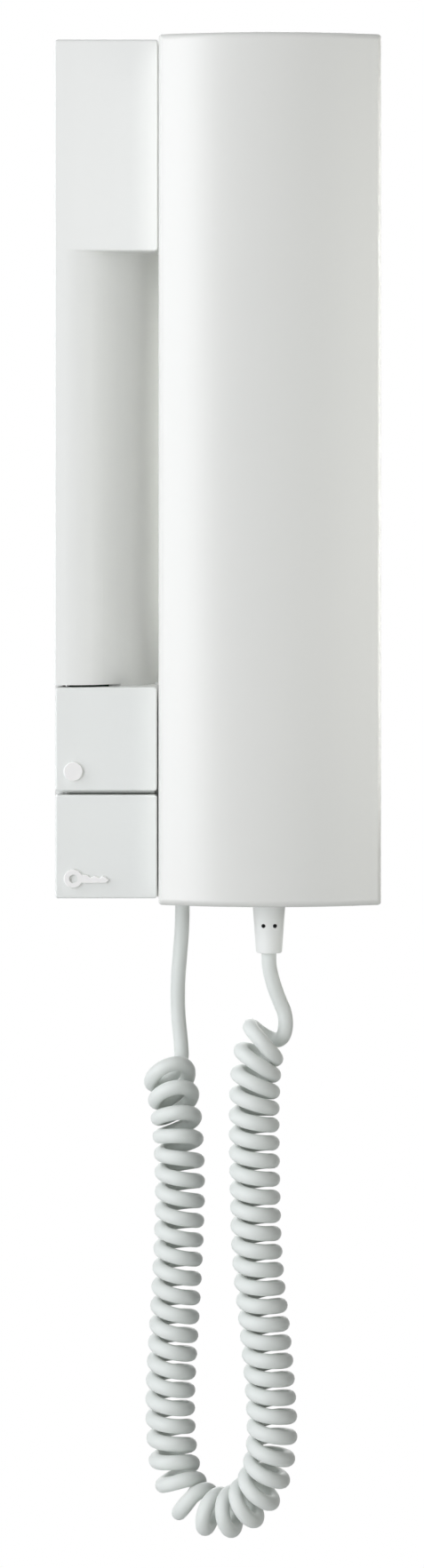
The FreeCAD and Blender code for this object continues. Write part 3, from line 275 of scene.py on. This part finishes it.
def makePlastic(name, values):
    material, tree, shader = newMaterial(name)
    place = addNode(tree, "ShaderNodeTexCoord").outputs["Object"]
    cloud = addNode(tree, "ShaderNodeTexNoise", Vector=place, Scale=perMetre(values["cloud"]),
                    Detail=cloudDetail)
    grain = addNode(tree, "ShaderNodeTexNoise", Vector=place, Scale=perMetre(values["grain"]),
                    Detail=grainDetail, Roughness=grainRoughness)
    colour = addNode(tree, "ShaderNodeMix", {"data_type": "RGBA"}, Factor=cloud.outputs["Fac"])
    colour.inputs[mixFirst].default_value = linear(values["colour"])
    colour.inputs[mixSecond].default_value = linear(values["shade"])
    shine = addNode(tree, "ShaderNodeMapRange", Value=grain.outputs["Fac"],
                    To_Min=values["roughness"] - values["spread"],
                    To_Max=values["roughness"] + values["spread"])
    depth = values["grainDepth"] / 1000
    bump = addNode(tree, "ShaderNodeBump", Height=grain.outputs["Fac"], Distance=depth)
    tone = colour.outputs[mixResult]
    # painted highlight on the tops of the raised signs
    if "signHighlight" in values:
        tone = paintSignHighlight(tree, place, tone, values)
    for across in values.get("holes", ()):
        tone = shadeHole(tree, place, tone, across, values)
    tree.links.new(tone, shader.inputs["Base Color"])
    tree.links.new(shine.outputs[0], shader.inputs["Roughness"])
    tree.links.new(bump.outputs[0], shader.inputs["Normal"])
    shader.inputs["IOR"].default_value = values["ior"]
    if "specular" in values:
        shader.inputs["Specular IOR Level"].default_value = values["specular"]
    finishNodes(values["nodes"], material)
    return material


def makeMetal(name, values):
    material, tree, shader = newMaterial(name)
    place = addNode(tree, "ShaderNodeTexCoord").outputs["Object"]
    scales = [perMetre(size) for size in values["streak"]]
    drawn = addNode(tree, "ShaderNodeMapping", Vector=place, Scale=scales)
    streak = addNode(tree, "ShaderNodeTexNoise", Vector=drawn.outputs[0], Scale=1.0, Detail=streakDetail)
    colour = addNode(tree, "ShaderNodeMix", {"data_type": "RGBA"}, Factor=streak.outputs["Fac"])
    colour.inputs[mixFirst].default_value = linear(values["colour"])
    colour.inputs[mixSecond].default_value = linear(values["shade"])
    shine = addNode(tree, "ShaderNodeMapRange", Value=streak.outputs["Fac"],
                    To_Min=values["roughness"] - values["spread"],
                    To_Max=values["roughness"] + values["spread"])
    bump = addNode(tree, "ShaderNodeBump", Height=streak.outputs["Fac"], Distance=streakDepth / 1000)
    tree.links.new(colour.outputs[mixResult], shader.inputs["Base Color"])
    tree.links.new(shine.outputs[0], shader.inputs["Roughness"])
    tree.links.new(bump.outputs[0], shader.inputs["Normal"])
    shader.inputs["Metallic"].default_value = 1.0
    finishNodes(values["nodes"], material)
    return material


def makeLaminate(name, values):
    material, tree, shader = newMaterial(name)
    place = addNode(tree, "ShaderNodeTexCoord").outputs["Object"]
    turns = 2 * math.pi * perMetre(2 * values["thread"])
    split = addNode(tree, "ShaderNodeSeparateXYZ", Vector=place)
    waves = []
    for axis in ("X", "Z"):
        angle = addNode(tree, "ShaderNodeMath", {"operation": "MULTIPLY"})
        tree.links.new(split.outputs[axis], angle.inputs[0])
        angle.inputs[1].default_value = turns
        wave = addNode(tree, "ShaderNodeMath", {"operation": "SINE"})
        tree.links.new(angle.outputs[0], wave.inputs[0])
        waves.append(wave.outputs[0])
    cloth = addNode(tree, "ShaderNodeMath", {"operation": "MULTIPLY"})
    tree.links.new(waves[0], cloth.inputs[0])
    tree.links.new(waves[1], cloth.inputs[1])
    height = addNode(tree, "ShaderNodeMapRange", Value=cloth.outputs[0], From_Min=-1.0)
    colour = addNode(tree, "ShaderNodeMix", {"data_type": "RGBA"}, Factor=height.outputs[0])
    colour.inputs[mixFirst].default_value = linear(values["resist"])
    colour.inputs[mixSecond].default_value = linear(values["weave"])
    bump = addNode(tree, "ShaderNodeBump", Height=height.outputs[0], Distance=values["weaveDepth"] / 1000)
    tree.links.new(colour.outputs[mixResult], shader.inputs["Base Color"])
    tree.links.new(bump.outputs[0], shader.inputs["Normal"])
    shader.inputs["Roughness"].default_value = values["roughness"]
    finishNodes(values["nodes"], material)
    return material


finishes = {name: makePlastic(name, values) for name, values in plastics.items()}
finishes.update({name: makeMetal(name, values) for name, values in metals.items()})
finishes["boardLaminate"] = makeLaminate("boardLaminate", laminate)
print("finishes made:", len(finishes))


# Cord, with its lengths in metres

cord = {
    "wireRadius": 0.0019,
    "tubeFacets": 6,           # bevel resolution of the wire's round section
    "coilRadius": 0.00455,
    "turns": 51.11,
    "firstAngle": math.radians(42),
    "topLeft": -0.1502,        # the turns begin here, under the base
    "topRight": -0.1395,       # and end here, under the handset
    "rampLeft": 0.0055,        # over these lengths the turns set in and end
    "rampRight": 0.004,
    "bendWindow": 0.004,       # the route's bend is measured over this length to each side
    "moveOutLeft": 0.012,      # from here on the wire leaves the middle line
    "moveOutRight": 0.002,     # and this far from the end it is back on it
    "stretch": 0.075,          # the left leg hangs more open than the right one
    "stretchEnd": 0.145,       # as far as this along the route
    "stretchFade": 0.05,       # fading out over this length
    "crowd": 0.85,             # how much the bends keep the turns apart
    "leastRate": 0.65,         # but at least this share of the turns stays
    "widen": 0.10,             # the first turns under the base stand wide
    "widenTurns": 3.0,         # over about so many turns
    "leanLeft": (-0.46, 0.60, 0),    # the first turns lie askew, left side low and front high
    "leanLeftTurns": 5.0,
    "leanRight": (-0.40, -0.20, 0),  # the last ones left side high
    "leanRightTurns": 5.0,
    "routeResolution": 128,
    # control points in millimetres, a few more near the ends than the solid cord has
    "route": [
        (-9.2, -7.5, -110.25), (-9.2, -7.5, -118.0), (-9.8, -7.4, -125.5), (-11.7, -7.2, -133.5),
        (-13.3, -7.2, -142.0), (-13.3, -7.9, -149.5), (-12.6, -9.6, -156.5), (-10.8, -11.6, -165.0),
        (-9.6, -12.4, -182.0), (-10.2, -12.6, -202.0), (-11.4, -12.4, -222.0), (-12.4, -12.0, -238.0),
        (-12.2, -12.0, -248.5), (-11.3, -13.2, -257.0), (-8.0, -16.4, -264.4), (-1.0, -21.2, -267.2),
        (6.0, -26.2, -264.8), (11.2, -30.0, -258.0), (13.5, -31.8, -249.0), (13.8, -32.2, -240.0),
        (12.2, -32.2, -220.0), (9.8, -32.1, -200.0), (9.3, -32.0, -180.0), (9.1, -32.0, -163.0),
        (9.4, -32.0, -154.5), (9.9, -32.0, -149.5), (10.9, -32.0, -145.5), (12.7, -32.0, -142.0),
        (13.2, -32.0, -138.0), (12.8, -32.0, -133.0), (12.9, -32.0, -128.0), (12.9, -32.0, -122.2),
    ],
}


def routeLine(route, resolution):
    data = bpy.data.curves.new("cordRoute", "CURVE")
    data.dimensions = "3D"
    data.resolution_u = resolution
    spline = data.splines.new("NURBS")
    spline.points.add(len(route) - 1)
    for point, place in zip(spline.points, route):
        point.co = (*[value / 1000 for value in place], 1)
    spline.order_u = 3  # quadratic, as the solid cord's route
    spline.use_endpoint_u = True
    curve = bpy.data.objects.new("cordRoute", data)
    mesh = bpy.data.meshes.new_from_object(curve)
    line = [vertex.co.copy() for vertex in mesh.vertices]
    bpy.data.meshes.remove(mesh)
    bpy.data.curves.remove(data)
    return line


def smoothStep(share):
    share = min(max(share, 0), 1)
    return share * share * (3 - 2 * share)


def woundLine(values):
    line = routeLine(values["route"], values["routeResolution"])
    places = [0.0]
    for before, after in zip(line, line[1:]):
        places.append(places[-1] + (after - before).length)
    final = len(line) - 1
    ways = [(line[min(i + 1, final)] - line[max(i - 1, 0)]).normalized() for i in range(len(line))]
    first = next(place for place, point in zip(places, line) if point.z < values["topLeft"])
    last = next(place for place, point in zip(places[::-1], line[::-1]) if point.z < values["topRight"])
    begin, end = values["moveOutLeft"], places[-1] - values["moveOutRight"]
    window = values["bendWindow"]
    rates = []
    low = high = 0
    for place in places:
        while places[low] < place - window and low < final:
            low += 1
        while places[high] < place + window and high < final:
            high += 1
        bend = ways[low].angle(ways[high], 0) / (2 * window)
        ramp = min((place - first) / values["rampLeft"], (last - place) / values["rampRight"])
        ramp = min(max(ramp, 0), 1)
        fade = smoothStep((values["stretchEnd"] - place) / values["stretchFade"])
        stretch = 1 + values["stretch"] * fade
        apart = max(1 - values["crowd"] * values["coilRadius"] * bend, values["leastRate"])
        rates.append(ramp * ramp * apart / stretch)
    steps = [after - before for before, after in zip(places, places[1:])] + [0]
    pitch = sum(rate * step for rate, step in zip(rates, steps)) / values["turns"]
    turned = 0.0
    side = Vector((1, 0, 0))
    points = []
    for place, point, way, rate, step in zip(places, line, ways, rates, steps):
        side = (side - way * side.dot(way)).normalized()
        angle = values["firstAngle"] + 2 * math.pi * turned
        out = side * math.cos(angle) - way.cross(side) * math.sin(angle)
        left = values["turns"] - turned
        askew = out.dot(Vector(values["leanLeft"])) * max(1 - turned / values["leanLeftTurns"], 0)
        askew += out.dot(Vector(values["leanRight"])) * max(1 - left / values["leanRightTurns"], 0)
        radius = values["coilRadius"] * (1 + values["widen"] * math.exp(-turned / values["widenTurns"]))
        share = min((place - begin) / (first - begin), (end - place) / (end - last))
        points.append(point + (out + way * askew) * radius * smoothStep(share))
        turned += rate * step / pitch
    return points


def makeTube(name, points, values):
    data = bpy.data.curves.new(name, "CURVE")
    data.dimensions = "3D"
    data.bevel_depth = values["wireRadius"]
    data.bevel_resolution = values["tubeFacets"]
    data.use_fill_caps = True
    spline = data.splines.new("POLY")
    spline.points.add(len(points) - 1)
    for point, place in zip(spline.points, points):
        point.co = (*place, 1)
    curve = bpy.data.objects.new(name, data)
    mesh = bpy.data.meshes.new_from_object(curve)
    bpy.data.curves.remove(data)
    mesh.shade_smooth()
    tube = bpy.data.objects.new(name, mesh)
    bpy.context.scene.collection.objects.link(tube)
    return tube


cordLine = woundLine(cord)
cordTube = makeTube("curlyCord", cordLine, cord)
cordTube.data.materials.append(finishes["cordPvc"])
cordLength = sum((after - before).length for before, after in zip(cordLine, cordLine[1:]))
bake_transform(cordTube)
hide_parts("base_cord_tail", "curly_cord", "handset_cord_tail")
print("cord made,", round(cordLength * 1000, 1), "mm,", len(cordTube.data.polygons), "faces")


# Studio

studio = {
    "aimDepth": -0.03,          # the lamps look at the object's middle depth
    "floorCentre": (0, -0.1, -0.47),
    "floorRadius": 0.68,
    "floorSides": 96,
    "floorColour": "#eeefee",
    "floorRoughness": 0.8,
    "fadeStart": 0.35,          # shares of the floor's radius between which it fades into the room
    "fadeEnd": 0.95,
    "softStrength": 0.07,       # what the white room gives to dull surfaces
}
# Each soft box: azimuth from the front, positive to the right, and elevation in degrees; distance,
# width and height in metres; watts; the level that it faces; its colour; and the spread in degrees
# that its grid leaves. The two near ones on the right are for the handset's right edge and the
# scoop, so they have a grid.
lamps = {
    "leftBox": (-75, 25, 1.0, 0.25, 1.3, 5.6, -0.08, "#fafbff", 180),
    "highFrontBox": (-36, 25, 1.0, 0.25, 1.3, 2.6, -0.08, "#fafbff", 180),
    "leftFrontBox": (-37, 0, 1.0, 0.5, 1.3, 4.9, -0.08, "#fafbff", 180),
    "rightFrontBox": (42, 0, 1.0, 0.5, 1.3, 2.4, -0.08, "#fffffb", 180),
    "rimStrip": (81, 0, 0.25, 0.02, 0.23, 0.037, 0.012, "#fffffb", 60),
    "rimBox": (105, 0, 0.22, 0.08, 0.2, 0.027, 0.01, "#fffffb", 50),
    "backBox": (180, 15, 1.0, 0.6, 0.9, 3.0, -0.08, "#ffffff", 180),
}


def makeLamp(name, azimuth, elevation, distance, width, height, watts, level, colour, spread):
    data = bpy.data.lights.new(name, "AREA")
    data.shape = "RECTANGLE"
    data.size = width
    data.size_y = height
    data.energy = watts
    data.color = linear(colour)[:3]
    data.spread = math.radians(spread)
    lamp = bpy.data.objects.new(name, data)
    turn, rise = math.radians(azimuth), math.radians(elevation)
    way = Vector((math.sin(turn) * math.cos(rise), -math.cos(turn) * math.cos(rise), math.sin(rise)))
    lamp.location = Vector((0, studio["aimDepth"], level)) + way * distance
    lamp.rotation_euler = (-way).to_track_quat("-Z", "Y").to_euler()
    bpy.context.scene.collection.objects.link(lamp)


for lampName, lampValues in lamps.items():
    makeLamp(lampName, *lampValues)


def makeRoom(values):
    world = bpy.data.worlds.new("whiteRoom")
    bpy.context.scene.world = world
    world.use_nodes = True
    tree = world.node_tree
    tree.nodes.clear()
    rays = addNode(tree, "ShaderNodeLightPath")
    shown = rays.outputs["Is Camera Ray"]
    for kind in ("Is Glossy Ray", "Is Transmission Ray"):
        either = addNode(tree, "ShaderNodeMath", {"operation": "MAXIMUM"})
        tree.links.new(shown, either.inputs[0])
        tree.links.new(rays.outputs[kind], either.inputs[1])
        shown = either.outputs[0]
    soft = addNode(tree, "ShaderNodeBackground", Color=(1, 1, 1, 1), Strength=values["softStrength"])
    white = addNode(tree, "ShaderNodeBackground", Color=(1, 1, 1, 1), Strength=1.0)
    mix = addNode(tree, "ShaderNodeMixShader", Fac=shown)
    tree.links.new(soft.outputs[0], mix.inputs[1])
    tree.links.new(white.outputs[0], mix.inputs[2])
    addNode(tree, "ShaderNodeOutputWorld", Surface=mix.outputs[0])


def makeFloor(values):
    radius = values["floorRadius"]
    build = bmesh.new()
    bmesh.ops.create_circle(build, cap_ends=True, segments=values["floorSides"], radius=radius)
    bmesh.ops.translate(build, vec=values["floorCentre"], verts=build.verts)
    mesh = bpy.data.meshes.new("studioFloor")
    build.to_mesh(mesh)
    build.free()
    floor = bpy.data.objects.new("studioFloor", mesh)
    bpy.context.scene.collection.objects.link(floor)
    # painted board that fades into the white room at its rim, for the camera only
    material, tree, shader = newMaterial("paintedBoard")
    shader.inputs["Base Color"].default_value = linear(values["floorColour"])
    shader.inputs["Roughness"].default_value = values["floorRoughness"]
    place = addNode(tree, "ShaderNodeTexCoord").outputs["Object"]
    centre = addNode(tree, "ShaderNodeVectorMath", {"operation": "SUBTRACT"})
    tree.links.new(place, centre.inputs[0])
    centre.inputs[1].default_value = values["floorCentre"]
    reach = addNode(tree, "ShaderNodeVectorMath", {"operation": "LENGTH"})
    tree.links.new(centre.outputs[0], reach.inputs[0])
    fade = addNode(tree, "ShaderNodeMapRange", {"interpolation_type": "SMOOTHSTEP"},
                   Value=reach.outputs["Value"],
                   From_Min=radius * values["fadeStart"], From_Max=radius * values["fadeEnd"])
    rays = addNode(tree, "ShaderNodeLightPath")
    shown = addNode(tree, "ShaderNodeMath", {"operation": "MULTIPLY"})
    tree.links.new(fade.outputs[0], shown.inputs[0])
    tree.links.new(rays.outputs["Is Camera Ray"], shown.inputs[1])
    white = addNode(tree, "ShaderNodeEmission", Color=(1, 1, 1, 1), Strength=1.0)
    mix = addNode(tree, "ShaderNodeMixShader", Fac=shown.outputs[0])
    tree.links.new(shader.outputs[0], mix.inputs[1])
    tree.links.new(white.outputs[0], mix.inputs[2])
    tree.links.new(mix.outputs[0], tree.nodes["Material Output"].inputs["Surface"])
    mesh.materials.append(material)


makeRoom(studio)
makeFloor(studio)
print("studio set:", len(lamps), "lamps")

bpy.context.scene.view_settings.view_transform = "Standard"
